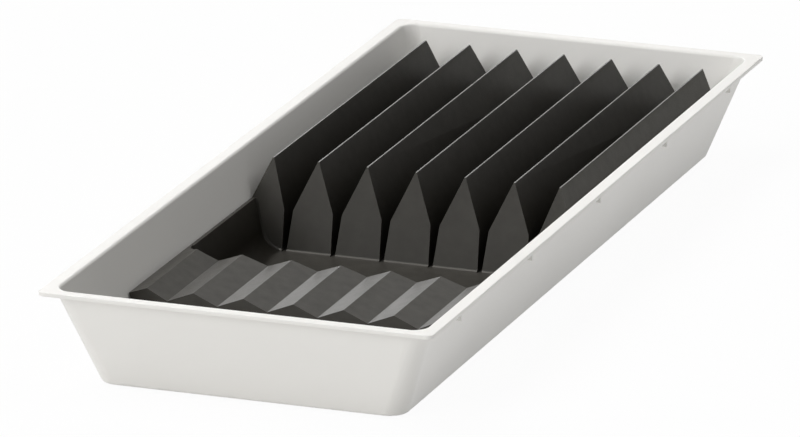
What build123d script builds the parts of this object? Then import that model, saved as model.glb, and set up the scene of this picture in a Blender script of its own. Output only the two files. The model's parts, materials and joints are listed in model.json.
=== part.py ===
from build123d import *
import os
from math import hypot

os.makedirs("parts", exist_ok=True)

# A drawer tray with a lift-out knife insert. Millimetres, +Z up.
# The origin is on the drawer floor under the middle of the tray. +Y points to the blade end.

# Outer tray
tray_length = 500.0
tray_width = 200.0
tray_height = 49.2  # base underside to rim top
end_wall_run = 14.8  # how far the end walls lean out, from the base to the rim
side_wall_run = 17.4
tray_wall = 2.4
floor_thickness = 2.0
corner_radius = 10.0  # outside of the upright wall corners
base_edge_radius = 2.5
floor_radius = 7.0  # inside, between floor and walls
rim_reach = 4.9  # from the outside of the wall to the rim's outer edge
rim_thickness = 1.8
rim_corner_radius = 4.0
rim_edge_radius = 0.4
rim_inner_radius = 1.7  # soft edge where the rim turns down into the tray

# Gussets under the rim, along both long sides
gusset_count = 5
gusset_pitch = 101.0
gusset_thickness = 1.5
gusset_drop = 5.0
gusset_reach = 2.5  # past the outside of the wall, at the rim

# Anti-slip feet
foot_radius = 6.0
foot_thickness = 1.8
foot_stand = 1.0  # how far they stand out below the base
foot_edge_radius = 0.4
foot_clearance = 0.2  # round each foot, in its recess
foot_inset = 16.0  # from the edge of the base to a foot's middle

# Knife insert, the shell
insert_clearance = 0.8  # between the insert and the tray's walls
insert_wall = 1.7
hull_edge_radius = 7.0
trough_depth = 23.3  # trough floor to the insert's edge
trough_floor_radius = 13.0
trough_corner_radius = 14.0
trough_foot_radius = 1.5  # between the trough and the ridges' front
landing_depth = 12.0  # low end in front of the handle rest
landing_corner_radius = 4.0
landing_floor_radius = 3.5

# Knife insert, along its length
rear_setback = 18.1  # ridge tops to the tray's rear wall, at the ridges' height
trough_length = 105.9  # handle rest to ridges, along their tops
rest_length = 66.3  # along the tops of the teeth
landing_length = 67.7  # handle rest to the tray's front wall, at the teeth's height
ridge_front_lean = 0.34  # run for each unit of height
ridge_rear_lean = 0.36
rest_rear_lean = 0.3

# Knife insert, across its width
slot_count = 6
slot_width = 2.3  # at the bottom
slot_mouth = 4.8  # where the slot opens into the V between two ridges
slot_height = 19.4  # trough floor to that mouth
slot_sink = 0.4  # how far the slots run below the trough floor
ridge_drop = 2.5  # ridge tops below the rim
ridge_flat = 0.7  # width of a ridge's top
outer_flank_run = 8.9  # outer ridge top to the insert's edge
outer_ridge_shift = 1.8  # outer ridges stand this much nearer to the middle than the pitch
ridge_tip_radius = 0.4  # rear outer corner, at the ridge tops
ridge_foot_radius = 28.0  # the same corner, at the tray's floor
rest_height = 21.3  # trough floor to the bottoms of the teeth
tooth_height = 4.9

overrun = 2.0  # how far cutting shapes pass the faces they cut

# Levels, from the drawer floor up
base_z = foot_stand
floor_z = base_z + floor_thickness
rim_z = base_z + tray_height
rim_under_z = rim_z - rim_thickness
trough_z = floor_z + insert_wall
slot_floor_z = trough_z - slot_sink
slot_mouth_z = trough_z + slot_height
edge_z = trough_z + trough_depth
landing_z = trough_z + landing_depth
valley_z = trough_z + rest_height
tooth_z = valley_z + tooth_height
ridge_z = rim_z - ridge_drop
above_z = ridge_z + overrun
below_z = floor_z - overrun - insert_wall

# The walls lean outwards. Insets are measured square to the outside of the wall.
wall_rise = tray_height - rim_thickness
side_lean = side_wall_run / wall_rise
end_lean = end_wall_run / wall_rise
base_width = tray_width - 2 * (rim_reach + side_wall_run)
base_length = tray_length - 2 * (rim_reach + end_wall_run)
cavity_inset = tray_wall
insert_inset = cavity_inset + insert_clearance
pocket_inset = insert_inset + insert_wall


def half_width(inset, z):
    return base_width / 2 + side_lean * (z - base_z) - inset * hypot(1, side_lean)


def half_length(inset, z):
    return base_length / 2 + end_lean * (z - base_z) - inset * hypot(1, end_lean)


# A block with sides parallel to the tray's walls
def leaning_block(inset, low_z, high_z):
    with BuildPart() as block:
        for z in (low_z, high_z):
            with BuildSketch(Plane.XY.offset(z)):
                RectangleRounded(
                    2 * half_width(inset, z), 2 * half_length(inset, z), corner_radius - inset
                )
        loft(ruled=True)
    return block.part


# The face inside a closed run of points, drawn in by a wall where one is given
def outline(points, wall=0):
    with BuildSketch() as sketch:
        with BuildLine():
            Polyline(*points, close=True)
        make_face()
        if wall:
            offset(amount=-wall, kind=Kind.INTERSECTION, mode=Mode.REPLACE)
    return sketch.sketch


# A side view of (y, z) points carried across the whole width
def across(points, wall=0):
    face = outline(points, wall)
    with BuildPart() as block:
        with BuildSketch(Plane.YZ):
            add(face)
        extrude(amount=tray_width / 2, both=True)
    return block.part


# End views of (x, z) points carried along the length
def along(point_lists, start_y, end_y, wall=0):
    faces = [outline(points, wall) for points in point_lists]
    with BuildPart() as block:
        with BuildSketch(Plane.XZ.offset(-end_y)):
            add(faces)
        extrude(amount=end_y - start_y)
    return block.part


# Outer tray
cavity_block = leaning_block(cavity_inset, floor_z, rim_z + overrun)
with BuildPart() as cavity:
    add(cavity_block)
    fillet(cavity.faces().sort_by(Axis.Z)[0].edges(), floor_radius)

foot_x = base_width / 2 - foot_inset
foot_y = base_length / 2 - foot_inset
recess_depth = foot_thickness - foot_stand
gusset_x = half_width(0, rim_under_z) + gusset_reach
gusset_middle_z = rim_under_z - gusset_drop / 2

wall_block = leaning_block(0, base_z, rim_z)
with BuildPart() as outer_tray:
    add(wall_block)
    fillet(outer_tray.faces().sort_by(Axis.Z)[0].edges(), base_edge_radius)
    with BuildSketch(Plane.XY.offset(rim_under_z)):
        RectangleRounded(tray_width, tray_length, rim_corner_radius)
    extrude(amount=rim_thickness)
    fillet(outer_tray.faces().sort_by(Axis.Z)[-1].outer_wire().edges(), rim_edge_radius)
    with Locations((0, 0, gusset_middle_z)):
        with GridLocations(tray_width, gusset_pitch, 1, gusset_count):
            Box(2 * gusset_x, gusset_thickness, gusset_drop)
    add(cavity.part, mode=Mode.SUBTRACT)
    rim_inner_edges = outer_tray.faces().sort_by(Axis.Z)[-1].inner_wires()[0].edges()
    fillet(rim_inner_edges, rim_inner_radius)
    with Locations(Plane.XY.offset(base_z)):
        with GridLocations(2 * foot_x, 2 * foot_y, 2, 2):
            Cylinder(
                foot_radius + foot_clearance,
                recess_depth,
                align=(Align.CENTER, Align.CENTER, Align.MIN),
                mode=Mode.SUBTRACT,
            )
outer_tray.part.label = "outer_tray"
export_step(outer_tray.part, "parts/outer_tray.step")

# Knife insert: places across the width
insert_edge_x = half_width(insert_inset, edge_z)
outer_ridge_x = insert_edge_x - outer_flank_run
slot_pitch = 2 * (outer_ridge_x + outer_ridge_shift) / slot_count
slot_xs = [(i - (slot_count - 1) / 2) * slot_pitch for i in range(slot_count)]
inner_ridge_xs = [x + slot_pitch / 2 for x in slot_xs[:-1]]
ridge_xs = [-outer_ridge_x] + inner_ridge_xs + [outer_ridge_x]
outer_flank_lean = (outer_flank_run - ridge_flat / 2) / (ridge_z - edge_z)

# Knife insert: places along the length, at the tops of the ridges and teeth
ridge_rear_y = half_length(cavity_inset, ridge_z) - rear_setback
rest_front_y = landing_length - half_length(cavity_inset, tooth_z)
rest_rear_y = rest_front_y + rest_length
ridge_front_y = rest_rear_y + trough_length


# Where the four cross faces stand at a level
def ridge_front_at(z):
    return ridge_front_y - ridge_front_lean * (ridge_z - z)


def ridge_rear_at(z):
    return ridge_rear_y + ridge_rear_lean * (ridge_z - z)


def rest_front_at(z):
    return rest_front_y - end_lean * (tooth_z - z)


def rest_rear_at(z):
    return rest_rear_y + rest_rear_lean * (tooth_z - z)


# The whole insert from the side, with its trough and slots still filled
trough_start_y = rest_rear_y + trough_corner_radius
side_view = [
    (-tray_length / 2, below_z),
    (-tray_length / 2, landing_z),
    (rest_front_at(landing_z), landing_z),
    (rest_front_y, tooth_z),
    (trough_start_y, tooth_z),
    (trough_start_y, edge_z),
    (ridge_front_at(edge_z), edge_z),
    (ridge_front_y, ridge_z),
    (ridge_rear_y, ridge_z),
    (ridge_rear_at(below_z), below_z),
]
hull_block = leaning_block(insert_inset, floor_z, ridge_z)
side_block = across(side_view)
with BuildPart() as hull:
    add(hull_block)
    fillet(hull.faces().sort_by(Axis.Z)[0].edges(), hull_edge_radius)
    add(side_block, mode=Mode.INTERSECT)

# Open trough between the handle rest and the ridges
trough_view = [
    (rest_rear_at(trough_z - overrun), trough_z - overrun),
    (rest_rear_at(above_z), above_z),
    (ridge_front_at(above_z), above_z),
    (ridge_front_at(trough_z - overrun), trough_z - overrun),
]
pocket_block = leaning_block(pocket_inset, trough_z, above_z)
trough_block = across(trough_view)
with BuildPart() as trough:
    add(pocket_block)
    add(trough_block, mode=Mode.INTERSECT)
    rest_face = trough.faces().sort_by(Axis.Y)[0]
    corner_edges = rest_face.edges().sort_by(Axis.X)
    fillet([corner_edges[0], corner_edges[-1]], trough_corner_radius)
    floor_edges = trough.faces().sort_by(Axis.Z)[0].edges().sort_by(Axis.Y)
    fillet(floor_edges[:-1], trough_floor_radius)
    foot_edges = trough.faces().sort_by(Axis.Y)[-1].edges().sort_by(Axis.Z)
    fillet(foot_edges[:-1], trough_foot_radius)

# Low landing in front of the handle rest
landing_view = [
    (-tray_length / 2, trough_z - overrun),
    (-tray_length / 2, above_z),
    (rest_front_at(above_z), above_z),
    (rest_front_at(trough_z - overrun), trough_z - overrun),
]
landing_block = across(landing_view)
with BuildPart() as landing:
    add(pocket_block)
    add(landing_block, mode=Mode.INTERSECT)
    rest_face = landing.faces().sort_by(Axis.Y)[-1]
    corner_edges = rest_face.edges().sort_by(Axis.X)
    fillet([corner_edges[0], corner_edges[-1]], landing_corner_radius)
    fillet(landing.faces().sort_by(Axis.Z)[0].edges(), landing_floor_radius)


# A blade slot and the V above it, between two ridges
def slot_outline(index):
    x = slot_xs[index]
    left_x = ridge_xs[index] + ridge_flat / 2
    right_x = ridge_xs[index + 1] - ridge_flat / 2
    return [
        (x - slot_width / 2, slot_floor_z),
        (x - slot_mouth / 2, slot_mouth_z),
        (left_x, ridge_z),
        (left_x, above_z),
        (right_x, above_z),
        (right_x, ridge_z),
        (x + slot_mouth / 2, slot_mouth_z),
        (x + slot_width / 2, slot_floor_z),
    ]


# A ridge from its end, running on below the insert. The outer ones lean out past its edge.
def ridge_outline(index):
    x = ridge_xs[index]
    low_flank_x = outer_ridge_x + ridge_flat / 2 + outer_flank_lean * (ridge_z - below_z)
    left = [(-low_flank_x, below_z)]
    if index > 0:
        slot_x = slot_xs[index - 1]
        left = [
            (slot_x + slot_width / 2, below_z),
            (slot_x + slot_width / 2, slot_floor_z),
            (slot_x + slot_mouth / 2, slot_mouth_z),
        ]
    right = [(low_flank_x, below_z)]
    if index < slot_count:
        slot_x = slot_xs[index]
        right = [
            (slot_x - slot_mouth / 2, slot_mouth_z),
            (slot_x - slot_width / 2, slot_floor_z),
            (slot_x - slot_width / 2, below_z),
        ]
    return left + [(x - ridge_flat / 2, ridge_z), (x + ridge_flat / 2, ridge_z)] + right


blade_start_y = ridge_front_at(trough_z) - trough_foot_radius
slot_outlines = [slot_outline(i) for i in range(slot_count)]
slot_blocks = along(slot_outlines, blade_start_y, tray_length / 2)
slot_ends = leaning_block(pocket_inset, below_z, above_z)
with BuildPart() as slots:
    add(slot_blocks)
    add(slot_ends, mode=Mode.INTERSECT)


# The space inside the outer flanks and the rear faces, with corners that widen downwards
def ridge_limits(inset):
    with BuildPart() as block:
        for z, radius in ((below_z, ridge_foot_radius - inset), (above_z, ridge_tip_radius)):
            flank_x = outer_ridge_x + ridge_flat / 2 + outer_flank_lean * (ridge_z - z)
            flank_x -= inset * hypot(1, outer_flank_lean)
            rear_y = ridge_rear_at(z) - inset * hypot(1, ridge_rear_lean)
            with BuildSketch(Plane.XY.offset(z)):
                with Locations((0, (rear_y - tray_length / 2) / 2)):
                    RectangleRounded(2 * flank_x, rear_y + tray_length / 2, radius)
        loft(ruled=True)
    return block.part


outer_limits = ridge_limits(0)
inner_limits = ridge_limits(insert_wall)
blade_end_view = [
    (trough_start_y, below_z),
    (trough_start_y, above_z),
    (tray_length / 2, above_z),
    (tray_length / 2, below_z),
]
blade_end = across(blade_end_view)
with BuildPart() as outer_cuts:
    add(blade_end)
    add(outer_limits, mode=Mode.SUBTRACT)

# The saw-tooth top of the handle rest
rest_flank_drop = (tooth_z - edge_z) * (tray_width / 2 - outer_ridge_x) / outer_flank_run
tooth_line = [(-tray_width / 2, tooth_z - rest_flank_drop), (ridge_xs[0], tooth_z)]
for slot_x, ridge_x in zip(slot_xs, ridge_xs[1:]):
    tooth_line.append((slot_x, valley_z))
    tooth_line.append((ridge_x, tooth_z))
tooth_line.append((tray_width / 2, tooth_z - rest_flank_drop))
above_teeth = tooth_line + [(tray_width / 2, above_z), (-tray_width / 2, above_z)]
below_teeth = tooth_line + [(tray_width / 2, below_z), (-tray_width / 2, below_z)]
teeth_cut = along([above_teeth], -tray_length / 2, trough_start_y)

# The insert is a shell, open below: hollows under the ridges and the handle rest
ridge_side_view = [
    (ridge_front_at(below_z), below_z),
    (ridge_front_y, ridge_z),
    (ridge_rear_y, ridge_z),
    (ridge_rear_at(below_z), below_z),
]
rest_side_view = [
    (rest_front_at(below_z), below_z),
    (rest_front_y, tooth_z),
    (rest_rear_y, tooth_z),
    (rest_rear_at(below_z), below_z),
]
ridge_outlines = [ridge_outline(i) for i in range(slot_count + 1)]
ridge_end_views = along(ridge_outlines, -tray_length / 2, tray_length / 2, insert_wall)
ridge_side_block = across(ridge_side_view, insert_wall)
with BuildPart() as ridge_hollows:
    add(ridge_end_views)
    add(ridge_side_block, mode=Mode.INTERSECT)
    add(inner_limits, mode=Mode.INTERSECT)
rest_end_view = along([below_teeth], -tray_length / 2, tray_length / 2, insert_wall)
rest_side_block = across(rest_side_view, insert_wall)
with BuildPart() as rest_hollow:
    add(rest_end_view)
    add(rest_side_block, mode=Mode.INTERSECT)

with BuildPart() as knife_insert:
    add(hull.part)
    add(trough.part, mode=Mode.SUBTRACT)
    add(landing.part, mode=Mode.SUBTRACT)
    add(teeth_cut, mode=Mode.SUBTRACT)
    add(slots.part, mode=Mode.SUBTRACT)
    add(outer_cuts.part, mode=Mode.SUBTRACT)
    add(ridge_hollows.part, mode=Mode.SUBTRACT)
    add(rest_hollow.part, mode=Mode.SUBTRACT)
knife_insert.part.label = "knife_insert"
export_step(knife_insert.part, "parts/knife_insert.step")


# Anti-slip feet
def make_foot(name, x, y):
    with BuildPart() as foot:
        with BuildSketch():
            with Locations((x, y)):
                Circle(foot_radius)
        extrude(amount=foot_thickness)
        fillet(foot.faces().sort_by(Axis.Z)[0].edges(), foot_edge_radius)
    foot.part.label = name
    export_step(foot.part, f"parts/{name}.step")


for end_name, y in (("front", -foot_y), ("rear", foot_y)):
    for side_name, x in (("left", -foot_x), ("right", foot_x)):
        make_foot(f"anti_slip_foot_{end_name}_{side_name}", x, y)
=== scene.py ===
import json
from math import cos, radians, sin

import bmesh
import bpy
import numpy as np
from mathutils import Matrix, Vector

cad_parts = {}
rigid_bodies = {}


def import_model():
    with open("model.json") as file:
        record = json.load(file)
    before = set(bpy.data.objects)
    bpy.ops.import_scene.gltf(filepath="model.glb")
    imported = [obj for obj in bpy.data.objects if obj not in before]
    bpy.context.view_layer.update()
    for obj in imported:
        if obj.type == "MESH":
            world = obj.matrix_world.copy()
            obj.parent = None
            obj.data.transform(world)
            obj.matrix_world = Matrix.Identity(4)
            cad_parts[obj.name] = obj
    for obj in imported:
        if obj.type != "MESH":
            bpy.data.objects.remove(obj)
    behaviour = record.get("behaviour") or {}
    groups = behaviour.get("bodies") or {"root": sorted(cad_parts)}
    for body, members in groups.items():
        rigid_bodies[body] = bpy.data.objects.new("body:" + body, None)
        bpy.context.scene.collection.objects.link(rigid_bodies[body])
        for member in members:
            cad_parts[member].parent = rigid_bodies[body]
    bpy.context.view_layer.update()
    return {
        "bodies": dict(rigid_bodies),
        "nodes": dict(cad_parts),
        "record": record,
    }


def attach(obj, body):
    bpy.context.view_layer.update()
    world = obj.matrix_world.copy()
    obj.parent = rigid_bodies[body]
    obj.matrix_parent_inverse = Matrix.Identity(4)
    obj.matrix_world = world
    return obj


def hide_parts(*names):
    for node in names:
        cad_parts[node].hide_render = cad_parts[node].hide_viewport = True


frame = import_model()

nodes = frame["nodes"]
bodyOf = {
    node: body for body, empty in frame["bodies"].items() for node in nodes if nodes[node].parent == empty
}
slotOf = {part["node"]: part["material_slot"] for part in frame["record"]["subparts"]}
print("frame loaded:", len(nodes), "nodes")


# One socket's output, so that shader maths reads as plain expressions
class Link:
    def __init__(self, shade, socket):
        self.shade, self.socket = shade, socket

    def maths(self, operation, *others):
        return self.shade.node("ShaderNodeMath", {"operation": operation}, [self, *others])

    def __add__(self, other):
        return self.maths("ADD", other)

    def __sub__(self, other):
        return self.maths("SUBTRACT", other)

    def __rsub__(self, other):
        return self.shade.node("ShaderNodeMath", {"operation": "SUBTRACT"}, [other, self])

    def __mul__(self, other):
        return self.maths("MULTIPLY", other)

    __radd__ = __add__
    __rmul__ = __mul__


# One material and its nodes
class Shade:
    def __init__(self, name):
        self.material = bpy.data.materials.new(name)
        self.material.use_nodes = True
        self.tree = self.material.node_tree
        self.tree.nodes.clear()

    def node(self, kind, settings=None, values=None, output=0):
        made = self.tree.nodes.new(kind)
        for key, value in (settings or {}).items():
            setattr(made, key, value)
        pairs = values.items() if isinstance(values, dict) else enumerate(values or [])
        for key, value in pairs:
            if isinstance(value, Link):
                self.tree.links.new(value.socket, made.inputs[key])
            else:
                made.inputs[key].default_value = value
        return Link(self, made.outputs[output]) if len(made.outputs) else None

    # A Mix node takes its two colours at sockets 6 and 7 and gives a colour at 2
    def mix(self, factor, first, second):
        first, second = (value if isinstance(value, Link) else (*value, 1) for value in (first, second))
        return self.node("ShaderNodeMix", {"data_type": "RGBA"}, {0: factor, 6: first, 7: second}, 2)

    def noise(self, place, scale, detail, roughness=0.5):
        values = {"Vector": place, "Scale": scale, "Detail": detail, "Roughness": roughness}
        return self.node("ShaderNodeTexNoise", None, values)

    def place(self):  # where a point is on the object, in metres
        return self.node("ShaderNodeTexCoord", None, None, "Object")

    def finish(self, surface):
        self.node("ShaderNodeOutputMaterial", None, {"Surface": surface})
        return self.material


trayFinish = {
    "colour": (0.870, 0.855, 0.820),
    "cloudColour": (0.845, 0.832, 0.798),  # faint clouding of the moulded plastic
    "cloudScale": 9.0,
    "edgeColour": (0.90, 0.89, 0.86),  # brighter along the rolled edges and on what faces upwards next to them
    "roughness": 0.42,
    "roughnessSpread": 0.10,
    "grainScale": 900.0,
    "grainHeight": 0.00002,
    "waveScale": 26.0,  # slow unevenness of the moulded faces
    "waveHeight": 0.00012,
    "specular": 0.5,
    "specularTint": (1.0, 1.0, 1.0),
}

insertFinish = {
    "colour": (0.0130, 0.0113, 0.0083),
    "cloudColour": (0.0112, 0.0098, 0.0073),
    "cloudScale": 14.0,
    "edgeColour": (0.085, 0.080, 0.070),  # paler on rolled edges and what faces upwards: partly wear from knives, partly a painted highlight along the ridge tops
    "roughness": 0.39,
    "roughnessSpread": 0.07,
    "grainScale": 2600.0,  # fine spark-eroded texture
    "grainHeight": 0.00003,
    "waveScale": 20.0,
    "waveHeight": 0.00005,
    "specular": 0.235,
    "specularTint": (1.0, 0.985, 0.94),  # its shine is a little warm
}

footFinish = {
    "colour": (0.30, 0.30, 0.295),
    "cloudColour": (0.24, 0.24, 0.235),
    "cloudScale": 160.0,
    "edgeColour": (0.36, 0.36, 0.35),
    "roughness": 0.75,
    "roughnessSpread": 0.12,
    "grainScale": 1800.0,
    "grainHeight": 0.00004,
    "waveScale": 90.0,
    "waveHeight": 0.00008,
    "specular": 0.3,
    "specularTint": (1.0, 1.0, 1.0),
}


# What the finishes share
moulding = {
    "cloudDetail": 3.0,
    "grainDetail": 2.0,
    "grainRoughness": 0.6,
    "grainDulling": 0.12,  # how far the grain moves the roughness
    "waveDetail": 1.0,
    "markPatches": 12,  # patches of the edge mark, times the clouds' scale
    "markDetail": 2.0,
    "markLeast": 0.4,  # share of the edge mark that every patch has
    "wornShine": 0.08,  # roughness that wear rubs away
    "noiseMiddle": 0.5,  # what a noise averages
}


# Moulded plastic or rubber: clouded colour, an edge mark that is partly wear and partly painted
# highlight, fine grain over slow waves
def mouldedMaterial(name, finish):
    shade = Shade(name)
    place = shade.place()
    cloud = shade.noise(place, finish["cloudScale"], moulding["cloudDetail"])
    grain = shade.noise(place, finish["grainScale"], moulding["grainDetail"], moulding["grainRoughness"])
    wave = shade.noise(place, finish["waveScale"], moulding["waveDetail"])
    patches = shade.noise(place, finish["cloudScale"] * moulding["markPatches"], moulding["markDetail"])
    edge = shade.node("ShaderNodeAttribute", {"attribute_name": "edgeWearAndSheen"}, None, "Fac")
    # The edge mark lightens the colour: partly wear, partly painted highlight on the ridge tops and a
    # painted highlight line along the ridges' feet
    wearAndSheen = edge * (moulding["markLeast"] + (1 - moulding["markLeast"]) * patches)
    colour = shade.mix(cloud, finish["colour"], finish["cloudColour"])
    colour = shade.mix(wearAndSheen.maths("MINIMUM", 1.0), colour, finish["edgeColour"])
    dulling = finish["roughnessSpread"] * (cloud - moulding["noiseMiddle"])
    dulling = dulling + moulding["grainDulling"] * (grain - moulding["noiseMiddle"])
    height = grain * finish["grainHeight"] + wave * finish["waveHeight"]
    bump = shade.node("ShaderNodeBump", None, {"Strength": 1.0, "Distance": 1.0, "Height": height})
    surface = shade.node("ShaderNodeBsdfPrincipled", None, {
        "Base Color": colour,
        "Roughness": finish["roughness"] + dulling - moulding["wornShine"] * wearAndSheen,
        "Specular IOR Level": finish["specular"],
        "Specular Tint": (*finish["specularTint"], 1),
        "Normal": bump,
    })
    return shade.finish(surface)


materials = {
    "tray_white": mouldedMaterial("trayWhite", trayFinish),
    "insert_anthracite": mouldedMaterial("insertAnthracite", insertFinish),
    "foot_rubber": mouldedMaterial("footRubber", footFinish),
}
print("materials made:", len(materials))


# The two mouldings, and how far their sharp edges are rolled over
softening = {
    "outer_tray": {"name": "outerTray", "radius": 0.0003, "segments": 2},
    "knife_insert": {"name": "knifeInsert", "radius": 0.0004, "segments": 3},
}
sharpAngle = radians(28)
flatAngle = radians(0.4)
mergeDistance = 0.000004
roundProfile = 0.5

# A painted highlight: the pale line along the ridges' feet, on the small round between them and the
# trough's floor
footHighlight = {
    "y": -0.01292,  # the round's centre line
    "z": 0.0062,
    "radius": 0.0015,
    "slack": 0.0001,
    "turn": radians(71.2),  # from the floor up to the leaning fronts
    "strength": 2.6,  # over 1, so that the patches of the edge mark don't break the painted highlight
}


# A painted highlight, full half way round, fading to both sides as the square of a sine, over the edge
# mark that is there
def paintedFootHighlight(points, wornAndSheen):
    back, down = points[:, 1] - footHighlight["y"], footHighlight["z"] - points[:, 2]
    share = np.arctan2(back, down) / footHighlight["turn"]
    away = np.abs(np.hypot(back, down) - footHighlight["radius"])
    onRound = (away < footHighlight["slack"]) & (share > 0) & (share < 1)
    return np.maximum(wornAndSheen, onRound * footHighlight["strength"] * np.sin(np.pi * share) ** 2)


# The edge mark, partly wear and partly painted highlight, comes from above: the mark of the rolled edges,
# which reaches over the faces between them, times how far the surface leans upwards
def wearAndSheenFromAbove(data):
    marks = np.zeros(len(data.vertices), dtype=np.float32)
    normals = np.zeros(3 * len(data.vertices), dtype=np.float32)
    points = np.zeros(3 * len(data.vertices), dtype=np.float32)
    data.attributes["edgeWearAndSheen"].data.foreach_get("value", marks)
    data.vertices.foreach_get("normal", normals)
    data.vertices.foreach_get("co", points)
    upwards = np.clip(normals.reshape(-1, 3)[:, 2], 0, 1)
    wornAndSheen = paintedFootHighlight(points.reshape(-1, 3), marks * upwards)
    print("worn points:", int((wornAndSheen > 0).sum()))
    data.attributes["edgeWearAndSheen"].data.foreach_set("value", wornAndSheen.astype(np.float32))


# The node's own surface with its loose triangles merged and its flat faces joined,
# and each edge that turns by more than the sharp angle rolled over at a small radius
def softenedPiece(node, settings):
    mesh = bmesh.new()
    mesh.from_mesh(nodes[node].data)
    bmesh.ops.remove_doubles(mesh, verts=mesh.verts, dist=mergeDistance)
    bmesh.ops.dissolve_limit(
        mesh, angle_limit=flatAngle, verts=mesh.verts, edges=mesh.edges, delimit={"NORMAL"}
    )
    wearAndSheen = mesh.verts.layers.float.new("edgeWearAndSheen")
    sharp = [edge for edge in mesh.edges if edge.is_manifold and edge.calc_face_angle() > sharpAngle]
    rolled = bmesh.ops.bevel(
        mesh, geom=sharp, offset=settings["radius"], offset_type="OFFSET", segments=settings["segments"],
        profile=roundProfile, affect="EDGES", clamp_overlap=True, miter_outer="ARC", miter_inner="SHARP",
    )
    # The rolled edges carry the edge mark, partly wear and partly painted highlight
    for vertex in {vertex for face in rolled["faces"] for vertex in face.verts}:
        vertex[wearAndSheen] = 1.0
    data = bpy.data.meshes.new(settings["name"])
    mesh.to_mesh(data)
    mesh.free()
    data.shade_smooth()
    wearAndSheenFromAbove(data)
    data.set_sharp_from_angle(angle=sharpAngle)
    piece = bpy.data.objects.new(settings["name"], data)
    bpy.context.scene.collection.objects.link(piece)
    normals = piece.modifiers.new("evenNormals", "WEIGHTED_NORMAL")
    normals.keep_sharp = True
    piece.data.materials.append(materials[slotOf[node]])
    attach(piece, bodyOf[node])
    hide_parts(node)
    return piece


for node, settings in softening.items():
    piece = softenedPiece(node, settings)
    print("softened", node, "->", piece.name, len(piece.data.polygons), "faces")

for node in nodes:
    if node not in softening:
        for slot in nodes[node].material_slots:
            slot.material = materials[slotOf[node]]


studio = {
    "floorReach": 12.0,
    "floorPoints": 9,  # along each side
    "floorColour": (0.90, 0.90, 0.90),
    "floorGlow": 0.95,  # share of plain white in what the camera sees of the floor
    "worldColour": (1.0, 1.0, 1.0),
    "worldStrength": 0.20,
}

# Large soft lamps, each by where it stands: degrees round from the front towards the right,
# degrees up, its width in degrees and its strength
lamps = {
    "frontLeft": {"round": 335, "up": 34, "width": 30, "strength": 0.72},
    "lowFrontLeft": {"round": 330, "up": 18, "width": 28, "strength": 0.43},
    "highFront": {"round": 320, "up": 62, "width": 26, "strength": 0.48},
    "highLeft": {"round": 262, "up": 63, "width": 40, "strength": 0.90},
    "highRight": {"round": 118, "up": 52, "width": 36, "strength": 0.46},
    "rearLeft": {"round": 210, "up": 18, "width": 24, "strength": 0.38},
    "rear": {"round": 195, "up": 18, "width": 24, "strength": 0.12},
}


# A flat sheet on the ground: x and y run evenly over the reach, z is zero
def floorSheet(reach, count):
    steps = np.linspace(-reach, reach, count)
    x, y = np.meshgrid(steps, steps, indexing="ij")
    points = np.stack([x, y, np.zeros_like(x)], axis=-1).reshape(-1, 3)
    first = (np.arange(count - 1)[:, None] * count + np.arange(count - 1)).ravel()
    faces = np.stack([first, first + count, first + count + 1, first + 1], axis=1)
    data = bpy.data.meshes.new("floor")
    data.from_pydata(points.tolist(), [], faces.tolist())
    sheet = bpy.data.objects.new("floor", data)
    bpy.context.scene.collection.objects.link(sheet)
    return sheet


# Nearly white to the camera, with a little of the object's own shadow, and plain pale elsewhere
def floorMaterial():
    shade = Shade("paleFloor")
    diffuse = shade.node("ShaderNodeBsdfDiffuse", None, {"Color": (*studio["floorColour"], 1)})
    white = shade.node("ShaderNodeEmission", None, {"Color": (1, 1, 1, 1), "Strength": 1.0})
    kinds = ("Camera", "Glossy", "Transmission")
    rays = [shade.node("ShaderNodeLightPath", None, None, f"Is {kind} Ray") for kind in kinds]
    seen = (rays[0] + rays[1] + rays[2]).maths("MINIMUM", 1.0)
    mixed = shade.node("ShaderNodeMixShader", None, [seen * studio["floorGlow"], diffuse, white])
    return shade.finish(mixed)


# A lamp as far off as the sun, so that its light is the same all over the object
def softLamp(name, settings):
    lamp = bpy.data.lights.new(name, "SUN")
    lamp.energy, lamp.angle = settings["strength"], radians(settings["width"])
    holder = bpy.data.objects.new(name, lamp)
    bpy.context.scene.collection.objects.link(holder)
    around, up = radians(settings["round"]), radians(settings["up"])
    towards = Vector((sin(around) * cos(up), -cos(around) * cos(up), sin(up)))
    holder.location = towards
    holder.rotation_euler = towards.to_track_quat("Z", "Y").to_euler()


floor = floorSheet(studio["floorReach"], studio["floorPoints"])
floor.data.materials.append(floorMaterial())
world = bpy.data.worlds.new("studio")
world.use_nodes = True
background = world.node_tree.nodes["Background"]
background.inputs["Color"].default_value = (*studio["worldColour"], 1)
background.inputs["Strength"].default_value = studio["worldStrength"]
bpy.context.scene.world = world
for name, settings in lamps.items():
    softLamp(name, settings)
bpy.context.scene.view_settings.view_transform = "Standard"
print("studio lit by", len(lamps), "lamps")


# The camera that took the photograph, fitted to the tray's rim, base and insert
view = {
    "at": (1.6636, -4.5695, 1.5306),
    "forward": (-0.32808, 0.89714, -0.29580),
    "lens": 463.6,
    "sensor": 36.0,
}
lens = bpy.data.cameras.new("camera")
lens.lens, lens.sensor_width = view["lens"], view["sensor"]
camera = bpy.data.objects.new("camera", lens)
bpy.context.scene.collection.objects.link(camera)
camera.location = view["at"]
camera.rotation_euler = Vector(view["forward"]).to_track_quat("-Z", "Y").to_euler()
bpy.context.scene.camera = camera
print("camera set, lens", view["lens"], "mm")
